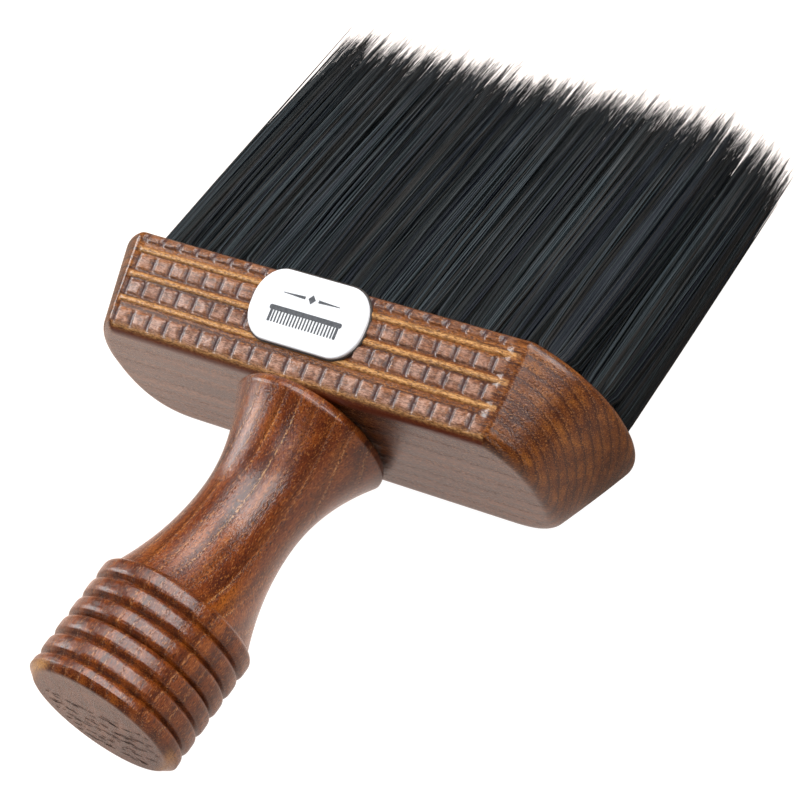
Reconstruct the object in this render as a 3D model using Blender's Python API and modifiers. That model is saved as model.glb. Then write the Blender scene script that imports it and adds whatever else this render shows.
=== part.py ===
"""Neck duster brush: a turned wooden handle, a flared wooden head block, a badge and rows of bristle tufts.

It lies on its back. +Y is the brush's own axis, from the flat end of the handle (y = 0) to the bristle
tips, +X runs along the head, and +Z is up, out of the carved front of the head. Lengths are in metres.
"""

import math

import bmesh
import bpy
from mathutils import Matrix, Vector

GAP = 0.0003

# Handle, turned from one round blank.
BEAD_RADIUS = 0.0160
BEAD_COUNT = 6
BEAD_PITCH = 0.0043
BEAD_DEPTH = 0.0013
FIRST_BEAD_Y = 0.0015
END_FACE_RADIUS = 0.0145
WAIST_RADIUS = 0.0100
WAIST_Y = 0.0470
NECK_FOOT_RADIUS = 0.0146
FLARE_RADIUS = BEAD_RADIUS
FLARE_Y = 0.0669
SEAT_RADIUS = 0.0143
SEAT_Y = 0.0694

# Dowel between the handle and the head block.
DOWEL_RADIUS = 0.0040
DOWEL_FOOT_Y = 0.0550
DOWEL_TOP_Y = 0.0770

# Head block: a long outline with round ends, wider towards the bristles, its front milled flat.
BLOCK_BOTTOM_Y = SEAT_Y
BLOCK_HEIGHT = 0.0191
BLOCK_TOP_Y = BLOCK_BOTTOM_Y + BLOCK_HEIGHT
END_CENTRE_X = 0.0404
END_RADIUS_BOTTOM = 0.0150
END_RADIUS_TOP = 0.0217
FRONT_BOTTOM_Z = 0.0127
FRONT_TOP_Z = 0.0195
EDGE_ROUND = 0.0014
FRONT_SLOPE = math.atan2(FRONT_TOP_Z - FRONT_BOTTOM_Z, BLOCK_HEIGHT)

# Badge on the milled front.
BADGE_LENGTH = 0.0288
BADGE_WIDTH = 0.0140
BADGE_CORNER = 0.0064
BADGE_THICKNESS = 0.0009
BADGE_SHIFT_X = -0.0010
BADGE_RISE = 0.645

# Bristle tufts, in four rows: how many each row holds, and how far its end tufts stand from the middle.
ROWS = ((13, 0.0490), (14, 0.0544), (14, 0.0544), (13, 0.0490))
ROW_PITCH = 0.0076
FIELD_Z = -0.0010
TIP_FIELD_Z = -0.0027
TIP_SPREAD_X = 0.96
TIP_SPREAD_Z = 0.74
TIP_Y = 0.1494
HOLE_RADIUS = 0.0028
HOLE_DEPTH = 0.0080
TUFT_BODY_RADIUS = 0.0035
TUFT_SHOULDER_RADIUS = 0.0029
TUFT_TIP_RADIUS = 0.0020

TURNED_STEPS = 28
TUFT_SIDES = 8


def clear_scene():
    for obj in list(bpy.data.objects):
        bpy.data.objects.remove(obj, do_unlink=True)


def new_collection(name):
    made = bpy.data.collections.new(name)
    bpy.context.scene.collection.children.link(made)
    return made


def material(name, colour, roughness, metallic=0.0):
    made = bpy.data.materials.new(name)
    made.use_nodes = True
    shader = made.node_tree.nodes["Principled BSDF"]
    shader.inputs["Base Color"].default_value = (*colour, 1.0)
    shader.inputs["Roughness"].default_value = roughness
    shader.inputs["Metallic"].default_value = metallic
    return made


def add_object(name, data, collection, finish=None):
    obj = bpy.data.objects.new(name, data)
    collection.objects.link(obj)
    if finish:
        data.materials.append(finish)
    return obj


def arc(centre, radii, start, end, steps):
    """Points (x, y) on an ellipse from the start angle to the end angle, in degrees, both included."""
    angles = [math.radians(start + (end - start) * i / steps) for i in range(steps + 1)]
    return [(centre[0] + radii[0] * math.cos(a), centre[1] + radii[1] * math.sin(a)) for a in angles]


def turned(name, profile, steps, collection, finish):
    """A round piece about its own Z axis, from (radius, height) points listed down its outer side."""
    mesh = bpy.data.meshes.new(name)
    bm = bmesh.new()
    points = [bm.verts.new((radius, 0.0, height)) for radius, height in profile]
    for a, b in zip(points, points[1:]):
        bm.edges.new((a, b))
    bm.to_mesh(mesh)
    bm.free()
    obj = add_object(name, mesh, collection, finish)
    screw = obj.modifiers.new("Turn", "SCREW")
    screw.steps = steps
    screw.render_steps = steps
    screw.use_merge_vertices = True
    screw.merge_threshold = 1e-6
    screw.use_smooth_shade = True
    return obj


def along_brush(obj):
    """Turns a piece's own Z axis to the brush's axis, +Y."""
    obj.rotation_euler = (-math.pi / 2, 0.0, 0.0)


def bead_radius_at(height):
    """Radius of the beaded grip: each bead is a circular arc across one pitch."""
    half = BEAD_PITCH / 2
    bend = (half**2 + BEAD_DEPTH**2) / (2 * BEAD_DEPTH)
    nearest = min(BEAD_COUNT - 1, max(0, round((height - FIRST_BEAD_Y) / BEAD_PITCH)))
    offset = height - (FIRST_BEAD_Y + nearest * BEAD_PITCH)
    return BEAD_RADIUS - bend + math.sqrt(bend**2 - offset**2)


def neck_radius_at(height):
    """Radius between the beads and the block: two parabolas that meet at the waist."""
    foot = FIRST_BEAD_Y + (BEAD_COUNT - 0.5) * BEAD_PITCH
    end_y, end_radius = (foot, NECK_FOOT_RADIUS) if height < WAIST_Y else (FLARE_Y, FLARE_RADIUS)
    return WAIST_RADIUS + (end_radius - WAIST_RADIUS) * ((height - WAIST_Y) / (end_y - WAIST_Y)) ** 2


def handle_profile():
    hole = DOWEL_RADIUS + GAP
    top = SEAT_Y - GAP
    profile = [(0.0, DOWEL_FOOT_Y - GAP), (hole, DOWEL_FOOT_Y - GAP), (hole, top)]
    rim = arc((SEAT_RADIUS, FLARE_Y), (FLARE_RADIUS - SEAT_RADIUS, top - FLARE_Y), 90, 0, 4)
    foot = FIRST_BEAD_Y + (BEAD_COUNT - 0.5) * BEAD_PITCH
    neck = [FLARE_Y + (foot - FLARE_Y) * i / 15 for i in range(1, 15)]
    profile += rim + [(neck_radius_at(height), height) for height in neck]
    points_per_bead = 4
    for i in range((BEAD_COUNT - 1) * points_per_bead + points_per_bead // 2 + 1):
        height = foot - i * BEAD_PITCH / points_per_bead
        profile.append((bead_radius_at(height), height))
    return profile + [((BEAD_RADIUS + END_FACE_RADIUS) / 2, FIRST_BEAD_Y / 4), (END_FACE_RADIUS, 0.0), (0.0, 0.0)]


def make_handle(collection, wood):
    along_brush(turned("handle", handle_profile(), TURNED_STEPS, collection, wood))


def make_dowel(collection, wood):
    chamfer = 0.0006
    narrow = DOWEL_RADIUS - chamfer
    profile = [(0.0, DOWEL_TOP_Y), (narrow, DOWEL_TOP_Y), (DOWEL_RADIUS, DOWEL_TOP_Y - chamfer)]
    profile += [(DOWEL_RADIUS, DOWEL_FOOT_Y + chamfer), (narrow, DOWEL_FOOT_Y), (0.0, DOWEL_FOOT_Y)]
    along_brush(turned("handle_dowel", profile, 16, collection, wood))


def block_section(height, inset):
    """One outline of the block across the brush's axis: round ends, and a front that is cut flat."""
    share = (height - BLOCK_BOTTOM_Y) / BLOCK_HEIGHT
    radius = END_RADIUS_BOTTOM + (END_RADIUS_TOP - END_RADIUS_BOTTOM) * share - inset
    front = FRONT_BOTTOM_Z + (FRONT_TOP_Z - FRONT_BOTTOM_Z) * share - inset
    crease = math.degrees(math.asin(front / radius))
    right = arc((END_CENTRE_X, 0.0), (radius, radius), crease, -90, 14)
    left = [(-x, z) for x, z in reversed(right)]
    return [(x, height, z) for x, z in right + left]


def block_levels():
    """(height, inset) of each outline, with both long edges rounded."""
    quarter = [math.radians(angle) for angle in (0, 30, 60, 90)]
    rounding = [(EDGE_ROUND * (1 - math.sin(a)), EDGE_ROUND * (1 - math.cos(a))) for a in quarter]
    bottom = [(BLOCK_BOTTOM_Y + rise, inset) for inset, rise in rounding]
    top = [(BLOCK_TOP_Y - rise, inset) for inset, rise in reversed(rounding)]
    return bottom + top


def loft(name, sections, collection, finish):
    """A closed body through sections that have the same number of points."""
    bm = bmesh.new()
    rings = [[bm.verts.new(point) for point in section] for section in sections]
    for lower, upper in zip(rings, rings[1:]):
        for i, corner in enumerate(lower):
            following = (i + 1) % len(lower)
            bm.faces.new((corner, lower[following], upper[following], upper[i]))
    bm.faces.new(rings[0])
    bm.faces.new(rings[-1])
    bmesh.ops.recalc_face_normals(bm, faces=bm.faces)
    mesh = bpy.data.meshes.new(name)
    bm.to_mesh(mesh)
    bm.free()
    mesh.shade_smooth()
    mesh.set_sharp_from_angle(angle=math.radians(25))
    return add_object(name, mesh, collection, finish)


def tuft_places():
    """(row, number, root, tip) of each tuft, with its root on the block's top and its tip at full length."""
    for row, (count, half_length) in enumerate(ROWS):
        z = ((len(ROWS) - 1) / 2 - row) * ROW_PITCH
        for number in range(count):
            x = half_length * (2 * number / (count - 1) - 1)
            root = Vector((x, BLOCK_TOP_Y, FIELD_Z + z))
            tip = Vector((x * TIP_SPREAD_X, TIP_Y, TIP_FIELD_Z + z * TIP_SPREAD_Z))
            yield row + 1, number + 1, root, tip


def lean_of(root, tip):
    return (tip - root).to_track_quat("Z", "Y")


def hole_cutter(collection):
    """One mesh that holds a cylinder for each tuft hole, drilled along the tuft's own lean."""
    bm = bmesh.new()
    above = 0.0030
    depth = HOLE_DEPTH + above
    for _, _, root, tip in tuft_places():
        turn = lean_of(root, tip).to_matrix().to_4x4()
        middle = Matrix.Translation((0.0, 0.0, above - depth / 2))
        bmesh.ops.create_cone(
            bm,
            cap_ends=True,
            segments=TUFT_SIDES,
            radius1=HOLE_RADIUS,
            radius2=HOLE_RADIUS,
            depth=depth,
            matrix=Matrix.Translation(root) @ turn @ middle,
        )
    mesh = bpy.data.meshes.new("tuft_holes")
    bm.to_mesh(mesh)
    bm.free()
    return add_object("tuft_holes", mesh, collection)


def dowel_hole_cutter(collection):
    bm = bmesh.new()
    below = 0.0030
    depth = DOWEL_TOP_Y + GAP - BLOCK_BOTTOM_Y + below
    bmesh.ops.create_cone(
        bm,
        cap_ends=True,
        segments=16,
        radius1=DOWEL_RADIUS + GAP,
        radius2=DOWEL_RADIUS + GAP,
        depth=depth,
    )
    mesh = bpy.data.meshes.new("dowel_hole")
    bm.to_mesh(mesh)
    bm.free()
    cutter = add_object("dowel_hole", mesh, collection)
    along_brush(cutter)
    cutter.location = (0.0, BLOCK_BOTTOM_Y - below + depth / 2, 0.0)
    return cutter


def cut(obj, cutter):
    cutter.hide_render = True
    cutter.display_type = "WIRE"
    modifier = obj.modifiers.new(cutter.name, "BOOLEAN")
    modifier.operation = "DIFFERENCE"
    modifier.solver = "EXACT"
    modifier.object = cutter


def make_head_block(collection, cutters, wood):
    sections = [block_section(height, inset) for height, inset in block_levels()]
    block = loft("head_block", sections, collection, wood)
    cut(block, hole_cutter(cutters))
    cut(block, dowel_hole_cutter(cutters))


def badge_outline():
    """Corner points of a rectangle with rounded corners, about its own centre."""
    x = BADGE_LENGTH / 2 - BADGE_CORNER
    y = BADGE_WIDTH / 2 - BADGE_CORNER
    radii = (BADGE_CORNER, BADGE_CORNER)
    corners = ((x, y, 0), (-x, y, 90), (-x, -y, 180), (x, -y, 270))
    return [point for cx, cy, start in corners for point in arc((cx, cy), radii, start, start + 90, 6)]


def make_badge(collection, plate):
    outline = badge_outline()
    curve = bpy.data.curves.new("badge_plate", "CURVE")
    curve.dimensions = "2D"
    curve.fill_mode = "BOTH"
    curve.extrude = BADGE_THICKNESS / 2
    spline = curve.splines.new("POLY")
    spline.points.add(len(outline) - 1)
    for point, (x, y) in zip(spline.points, outline):
        point.co = (x, y, 0.0, 1.0)
    spline.use_cyclic_u = True
    badge = add_object("badge_plate", curve, collection, plate)
    seat = Vector((
        BADGE_SHIFT_X,
        BLOCK_BOTTOM_Y + BADGE_RISE * BLOCK_HEIGHT,
        FRONT_BOTTOM_Z + BADGE_RISE * (FRONT_TOP_Z - FRONT_BOTTOM_Z),
    ))
    outward = Vector((0.0, -math.sin(FRONT_SLOPE), math.cos(FRONT_SLOPE)))
    badge.location = seat + outward * (GAP + BADGE_THICKNESS / 2)
    badge.rotation_euler = (FRONT_SLOPE, 0.0, 0.0)


def tuft_profile(length):
    """A tuft's outline: straight in its hole, fullest a quarter of the way up, then narrowing to the tip."""
    foot = -HOLE_DEPTH + GAP
    in_hole = HOLE_RADIUS - GAP
    body = 0.25 * length
    shoulder = 0.75 * length
    profile = [(0.0, length), (TUFT_TIP_RADIUS, length), (TUFT_SHOULDER_RADIUS, shoulder)]
    return profile + [(TUFT_BODY_RADIUS, body), (in_hole, 0.0005), (in_hole, foot), (0.0, foot)]


def make_tufts(collection, bristle):
    for row, number, root, tip in tuft_places():
        name = f"bristle_tuft_r{row}_{number:02d}"
        tuft = turned(name, tuft_profile((tip - root).length), TUFT_SIDES, collection, bristle)
        tuft.rotation_mode = "QUATERNION"
        tuft.rotation_quaternion = lean_of(root, tip)
        tuft.location = root


def main():
    clear_scene()
    brush = new_collection("neck_duster_brush")
    cutters = new_collection("cutters")
    wood = material("stained_wood", (0.32, 0.11, 0.04), 0.25)
    bare_wood = material("bare_wood", (0.62, 0.44, 0.26), 0.6)
    plate = material("pale_plate", (0.86, 0.88, 0.91), 0.35)
    bristle = material("black_bristle", (0.02, 0.02, 0.025), 0.5)
    make_handle(brush, wood)
    make_dowel(brush, bare_wood)
    make_head_block(brush, cutters, wood)
    make_badge(brush, plate)
    make_tufts(brush, bristle)


main()
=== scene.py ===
"""Looks of the neck duster brush: turned and carved varnished wood, a pale badge and dense black bristles.

It lies on its back in the frame's own axes: +Y from the flat end of the handle to the bristle tips, +X along
the head, +Z out of the carved front. Lengths are in metres; MM turns millimetres into them.
"""

import math

import bmesh
import bpy
import numpy as np
from mathutils import Matrix, Vector
from mathutils.geometry import delaunay_2d_cdt

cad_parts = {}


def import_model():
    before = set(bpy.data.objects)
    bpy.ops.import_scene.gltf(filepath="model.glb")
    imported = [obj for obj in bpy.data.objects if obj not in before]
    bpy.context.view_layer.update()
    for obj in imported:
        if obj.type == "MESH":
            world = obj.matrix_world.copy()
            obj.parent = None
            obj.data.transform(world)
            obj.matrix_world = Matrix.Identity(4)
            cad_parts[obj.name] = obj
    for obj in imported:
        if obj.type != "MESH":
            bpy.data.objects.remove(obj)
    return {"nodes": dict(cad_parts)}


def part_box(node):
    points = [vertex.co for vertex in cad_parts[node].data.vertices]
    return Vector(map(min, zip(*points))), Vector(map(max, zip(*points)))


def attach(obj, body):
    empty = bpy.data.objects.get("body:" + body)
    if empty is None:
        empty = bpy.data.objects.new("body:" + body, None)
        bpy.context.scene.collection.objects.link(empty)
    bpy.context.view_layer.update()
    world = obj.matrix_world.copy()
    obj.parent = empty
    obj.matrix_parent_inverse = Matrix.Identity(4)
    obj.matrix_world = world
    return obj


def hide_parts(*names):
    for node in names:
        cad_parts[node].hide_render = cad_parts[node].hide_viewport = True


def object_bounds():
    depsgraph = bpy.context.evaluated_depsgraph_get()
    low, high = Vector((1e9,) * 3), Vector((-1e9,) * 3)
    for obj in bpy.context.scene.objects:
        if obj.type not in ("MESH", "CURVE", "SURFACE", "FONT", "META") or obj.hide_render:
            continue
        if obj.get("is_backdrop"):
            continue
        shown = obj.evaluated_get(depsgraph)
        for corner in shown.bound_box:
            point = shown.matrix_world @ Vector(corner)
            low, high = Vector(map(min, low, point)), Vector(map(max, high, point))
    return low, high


MM = 0.001
SEED = 7
GAP = 0.3 * MM

# Camera, round a point given from the middle of the brush's box.
AIM_FROM_MIDDLE = Vector((25.9, -2.0, 12.8)) * MM
CAMERA_AZIMUTH = 61.75
CAMERA_ELEVATION = 42.10
CAMERA_ROLL = -34.30
CAMERA_DISTANCE = 717 * MM
CAMERA_LENS = 181.4

# Handle. Ring, line and wear places are bare millimetres, as the materials measure them.
BEAD_RADIUS = 16.0 * MM
BEAD_COUNT = 6
BEAD_PITCH = 4.3 * MM
BEAD_DEPTH = 1.30 * MM
BEAD_FLATNESS = 4.6
FIRST_BEAD_Y = 1.5 * MM
END_FACE_RADIUS = 14.5 * MM
WAIST_RADIUS = 10.0 * MM
WAIST_Y = 47.0 * MM
NECK_FOOT_RADIUS = 14.7 * MM
FLARE_RADIUS = 16.0 * MM
FLARE_Y = 66.9 * MM
SEAT_INSET = 1.7 * MM
RIM_INSET = 0.5 * MM
RIM_WIDTH = 0.9 * MM
RIM_HEIGHT = 0.7 * MM
PROFILE_STEP = 0.15 * MM
HANDLE_SIDES = 256
WEAR_TURN = -44.0
WEAR_HEIGHTS = (1.9, 0.5)
WEAR_RADII = (12.2, 14.4)
WEAR_SIDES_SQUARED = (150.0, 205.0)
HANDLE_RING_CENTRE = (52.0, 0.0, -34.0)
HANDLE_RING_PITCH = 3.1
BEADS_TOP_Y = 22.0
NECK_START_Y = 30.0
BEAD_LINE_SHARE = 0.55

# Open pores in the handle's end face: dashes along its growth layers, in millimetres but for the heights.
PORE_LAYERS = (-10.6, -7.8, -4.8, -1.6, 2.2)
PORES_PER_LAYER = 30
PORE_SLOPE = 0.18
PORE_BOW = 8.0
PORE_BOW_LENGTH = 30.0
PORE_SCATTER = 0.55
PORE_REACH_X = 12.5
PORE_REACH = 13.2
PORE_HALF_LENGTHS = (0.25, 1.15)
PORE_HALF_WIDTHS = (0.07, 0.15)
PORE_HEIGHTS = (-0.02 * MM, 0.05 * MM)

# Head block.
END_CENTRE_X = 40.4 * MM
END_RADIUS_BOTTOM = 15.0 * MM
END_RADIUS_TOP = 21.7 * MM
FRONT_BOTTOM_Z = 12.7 * MM
FRONT_TOP_Z = 19.5 * MM
EDGE_ROUND = 2.1 * MM
FOOT_INSET = 0.4 * MM
BLOCK_RING_CENTRE = (-23.2, -22.2)
BLOCK_RING_PITCH = 1.75
CREASE_ROUND = 2.0 * MM
BACK_FULLNESS_BOTTOM = 2.7
BACK_FULLNESS_TOP = 2.15
FRONT_POINTS = 560
END_POINTS = 64
BACK_POINTS = 24
BLOCK_LEVELS = 104

# Carving of the front, in shares of its height and in lengths along it.
STUD_ROWS = (0.14, 0.43, 0.68, 0.925)
STUD_HALF_HEIGHTS = (1.40 * MM, 1.30 * MM, 1.25 * MM, 0.95 * MM)
# How strongly each row's stud faces take the painted reflection of a soft light.
STUD_FACET_SHEEN = (1.0, 0.80, 0.70, 0.35)
STUD_UNEVENNESS = 0.20
STUD_PITCH = 4.575 * MM
STUD_GAP = 1.25 * MM
STUD_BEVEL = 0.80 * MM
STUD_TOP_INSET = 0.35 * MM
CHANNEL_RISE = 0.30
FIRST_GAP_X = -47.75 * MM
STUDS_END_X = 47.4 * MM
RIDGE_ROWS = (0.042, 0.31, 0.555, 0.80)
RIDGE_HALF_WIDTH = 0.62 * MM
RIDGES_END_X = 50.0 * MM
CARVING_FOOT = 0.01
CARVING_FOOT_FADE = 0.055
CARVING_TOP_FADE = 0.015
CARVING_MARGIN = 1.2 * MM
CARVING_LEFT_FADE = 1.4 * MM
STUDS_END_FADE = 2.4 * MM
RIDGES_END_FADE = 2.6 * MM
CARVING_DEPTH = 0.40 * MM
RIM_SHARE = 0.048

# Badge, seated on the front.
BADGE_LENGTH = 28.8 * MM
BADGE_WIDTH = 14.0 * MM
BADGE_CORNER = 6.4 * MM
BADGE_THICKNESS = 0.80 * MM
BADGE_LINE = 0.28 * MM
BADGE_EDGE = 0.35 * MM
BADGE_SHIFT_X = -1.0 * MM
BADGE_RISE = 0.645

# Bristles, in one tuft for each hole of the block.
ROWS = ((13, 49.0 * MM), (14, 54.4 * MM), (14, 54.4 * MM), (13, 49.0 * MM))
ROW_PITCH = 7.6 * MM
FIELD_Z = -1.0 * MM
TIP_FIELD_Z = -2.7 * MM
TIP_SPREAD_X = 0.96
TIP_SPREAD_Z = 0.74
HOLE_RADIUS = 2.8 * MM
HOLE_DEPTH = 8.0 * MM
FIELD_CORE_X = 43.8 * MM
FIELD_ROOT_RADIUS = 14.6 * MM
FIELD_TIP_RADIUS = 11.8 * MM
FIELD_SOFTNESS = 0.12
FIELD_SLACK = (-1.3 * MM, 0.3 * MM)

# Filaments. Steps and taper are shares of a filament's length.
FILAMENTS_PER_TUFT = 500
FILAMENT_RADIUS = 0.100 * MM
FILAMENT_THICKNESS = (0.8, 1.15)
FILAMENT_STEPS = (0.0, 0.045, 0.066, 0.10, 0.20, 0.36, 0.54, 0.72, 0.88, 1.0)
FILAMENT_FOOT = -3.0 * MM
FILAMENT_PAST_TIP = 2.6 * MM
FILAMENT_SHORTFALL = 1.3 * MM
FILAMENT_SWAY = 0.20 * MM
TAPER_START = 0.60
TAPER_LOSS = 0.86
FLARE_START = 0.8 * MM
FLARE_LENGTH = 4.4 * MM
BODY_SHARE = 0.54
BODY_ROOT_SHARE = 0.80
BODY_FULL_AT = 0.40

# Clumps that the filaments of a tuft draw into.
CLUMPS_PER_TUFT = 56
CLUMP_FIELD_SHARE = 0.52
CLUMP_PULL = 0.66
CLUMP_SWAY = 0.55 * MM
CLUMP_LENGTHS = (-2.4 * MM, 1.8 * MM)
CLUMP_EDGE_SHORTFALL = 1.9
CLUMP_TONE_SHARE = 0.45

# Lights: name, direction from the brush's middle, distance in metres, size in metres and power in watts.
SOFTBOXES = (
    ("softbox_left", (-0.85, -0.06, 0.48), 1.5, (0.80, 0.42), 11.0),
    ("softbox_right", (0.66, 0.22, 0.72), 1.5, (1.05, 0.48), 14.5),
    ("softbox_back", (-0.10, 0.69, 0.71), 1.6, (0.95, 0.50), 8.0),
    ("softbox_top", (0.05, 0.30, 0.95), 1.5, (1.20, 0.75), 17.0),
    ("softbox_front", (0.33, -0.32, 0.89), 1.8, (0.36, 0.26), 3.6),
)
AIR_STRENGTH = 0.18
AIR_IN_REFLECTIONS = 0.05
FLOOR_REACH = 6.0


def lerp(a, b, share):
    return a + (b - a) * share


def ease(share):
    """0 to 1 with a soft start and end, for numbers and arrays."""
    share = np.clip(share, 0.0, 1.0)
    return share * share * (3.0 - 2.0 * share)


def arc(centre, radii, start, end, steps):
    """Points (x, y) on an ellipse from the start angle to the end angle, in degrees, both included."""
    angles = np.radians(np.linspace(start, end, steps + 1))
    return [(centre[0] + radii[0] * math.cos(a), centre[1] + radii[1] * math.sin(a)) for a in angles]


def mesh_object(name, vertices, faces, finish, node_names):
    """A piece that stands for the named CAD nodes, rides on the frame and takes its finish from a slot."""
    mesh = bpy.data.meshes.new(name)
    mesh.from_pydata(vertices, [], faces)
    mesh.materials.append(finish)
    mesh.shade_smooth()
    obj = bpy.data.objects.new(name, mesh)
    bpy.context.scene.collection.objects.link(obj)
    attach(obj, "root")
    if node_names:
        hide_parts(*node_names)
    return obj


# Materials ----------------------------------------------------------------------------------------------


class Recipe:
    """One node material. Each call adds a node and returns its output; sockets take numbers or outputs."""

    def __init__(self, name):
        self.material = bpy.data.materials.new(name)
        self.material.use_nodes = True
        self.tree = self.material.node_tree
        self.shader = self.tree.nodes["Principled BSDF"]

    def feed(self, socket, value):
        if isinstance(value, bpy.types.NodeSocket):
            self.tree.links.new(value, socket)
        else:
            socket.default_value = value

    def add(self, kind, sockets, **settings):
        made = self.tree.nodes.new(kind)
        for key, value in settings.items():
            setattr(made, key, value)
        for key, value in sockets.items():
            self.feed(made.inputs[key], value)
        return made

    def place(self):
        """Position in the frame, in millimetres."""
        coordinates = self.add("ShaderNodeTexCoord", {}).outputs["Object"]
        return self.scaled(coordinates, (1000.0, 1000.0, 1000.0))

    def scaled(self, vector, factors):
        sockets = {0: vector, 1: factors}
        return self.add("ShaderNodeVectorMath", sockets, operation="MULTIPLY").outputs["Vector"]

    def moved(self, vector, shift):
        return self.add("ShaderNodeVectorMath", {0: vector, 1: shift}, operation="ADD").outputs["Vector"]

    def length(self, vector):
        return self.add("ShaderNodeVectorMath", {0: vector}, operation="LENGTH").outputs["Value"]

    def part(self, vector, axis):
        return self.add("ShaderNodeSeparateXYZ", {"Vector": vector}).outputs[axis]

    def sum(self, a, b):
        return self.add("ShaderNodeMath", {0: a, 1: b}, operation="ADD").outputs["Value"]

    def product(self, a, b):
        return self.add("ShaderNodeMath", {0: a, 1: b}, operation="MULTIPLY").outputs["Value"]

    def saw(self, a):
        return self.add("ShaderNodeMath", {0: a}, operation="FRACT").outputs["Value"]

    def noise(self, vector, detail=2.0, roughness=0.5):
        sockets = {"Vector": vector, "Scale": 1.0, "Detail": detail, "Roughness": roughness}
        return self.add("ShaderNodeTexNoise", sockets).outputs["Fac"]

    def span(self, value, low, high, to_low=0.0, to_high=1.0):
        """value from low to high, as to_low to to_high, held at the ends and eased between them."""
        sockets = {"Value": value, "From Min": low, "From Max": high, "To Min": to_low, "To Max": to_high}
        return self.add("ShaderNodeMapRange", sockets, interpolation_type="SMOOTHSTEP").outputs["Result"]

    def ramp(self, value, stops):
        made = self.add("ShaderNodeValToRGB", {"Fac": value})
        points = made.color_ramp.elements
        while len(points) < len(stops):
            points.new(0.5)
        for point, (position, colour) in zip(points, stops):
            point.position = position
            point.color = (*colour, 1.0)
        return made.outputs["Color"]

    def mix(self, share, a, b):
        made = self.add("ShaderNodeMix", {}, data_type="RGBA")
        self.feed(made.inputs[0], share)
        for socket, value in ((made.inputs[6], a), (made.inputs[7], b)):
            self.feed(socket, (*value, 1.0) if isinstance(value, tuple) else value)
        return made.outputs[2]

    def attribute(self, name):
        return self.add("ShaderNodeAttribute", {}, attribute_name=name).outputs["Fac"]

    def bump(self, height, strength, distance):
        sockets = {"Height": height, "Strength": strength, "Distance": distance}
        return self.add("ShaderNodeBump", sockets).outputs["Normal"]

    def finish(self, **sockets):
        """Sets the shader's sockets; a name has _ for each space."""
        for key, value in sockets.items():
            self.feed(self.shader.inputs[key.replace("_", " ")], value)
        return self.material


class WoodFigure:
    """Masks of open-grained wood: its growth rings, broad bands, fibre and pore lines.

    Its grain runs along one axis, and its rings lie round a centre line along that axis, in millimetres.
    Noise scales are per millimetre, first across the grain and then along it.
    """

    def __init__(self, recipe, along, ring_centre, ring_pitch):
        self.place = recipe.place()

        def stretched(across, lengthways):
            factors = [across, across, across]
            factors[along] = lengthways
            return recipe.scaled(self.place, tuple(factors))

        flat = [1.0, 1.0, 1.0]
        flat[along] = 0.0
        across_grain = recipe.scaled(recipe.moved(self.place, ring_centre), tuple(flat))
        from_centre = recipe.length(across_grain)
        drift = recipe.product(recipe.noise(stretched(0.045, 0.005), detail=1.0), 5.0)
        waver = recipe.product(recipe.noise(stretched(0.45, 0.035), detail=2.0), 0.5)
        wandering = recipe.sum(recipe.sum(from_centre, drift), waver)
        ring = recipe.saw(recipe.product(wandering, 1.0 / ring_pitch))
        dashes = recipe.noise(stretched(4.4, 1.5), detail=1.0, roughness=0.5)
        strength = recipe.span(recipe.noise(stretched(0.16, 0.02), detail=1.0), 0.38, 0.62, 0.25, 1.0)
        line = recipe.product(recipe.span(ring, 0.13, 0.07), recipe.span(ring, 0.0, 0.03))
        self.bands = recipe.noise(stretched(0.26, 0.016), detail=3.0, roughness=0.55)
        self.fibre = recipe.noise(stretched(4.2, 1.15), detail=2.0, roughness=0.7)
        self.late = recipe.product(recipe.span(ring, 0.50, 0.88), recipe.span(ring, 1.0, 0.92))
        speckle = recipe.span(self.fibre, 0.62, 0.46, 0.40, 1.0)
        stipple = recipe.product(recipe.span(dashes, 0.47, 0.56), speckle)
        self.gold = recipe.product(recipe.product(line, stipple), strength)
        self.pits = recipe.product(recipe.span(ring, 0.32, 0.10), recipe.span(dashes, 0.47, 0.40))


HANDLE_TONES = ((0.054, 0.008, 0.002), (0.125, 0.023, 0.003), (0.205, 0.046, 0.006), (0.320, 0.088, 0.010))
BLOCK_TONES = ((0.062, 0.013, 0.002), (0.116, 0.028, 0.003), (0.178, 0.050, 0.006), (0.275, 0.090, 0.012))
TONE_STOPS = (0.30, 0.44, 0.56, 0.72)
LATE_WOOD = (0.040, 0.008, 0.002)
DARK_FIBRE = (0.026, 0.006, 0.002)
LIGHT_FIBRE = (0.440, 0.168, 0.040)
PIT_STAIN = (0.030, 0.008, 0.004)
GOLDEN_LINE = (0.640, 0.340, 0.130)
WORN_RIM = (0.620, 0.300, 0.070)
WORN_RIDGE = (0.660, 0.350, 0.130)
# Pale pinkish grey painted on the stud faces as the reflection of a soft light.
FACET_SHEEN_PAINT = (0.480, 0.280, 0.205)
# Dark stain pooled in the gaps between studs, with painted shade there too.
GAP_STAIN_AND_SHADE = (0.048, 0.026, 0.028)
# Darker red on the lower rounded edge of the front.
LOWER_EDGE_RED = (0.100, 0.013, 0.005)
PORE_DEPTH = 0.14 * MM


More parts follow.
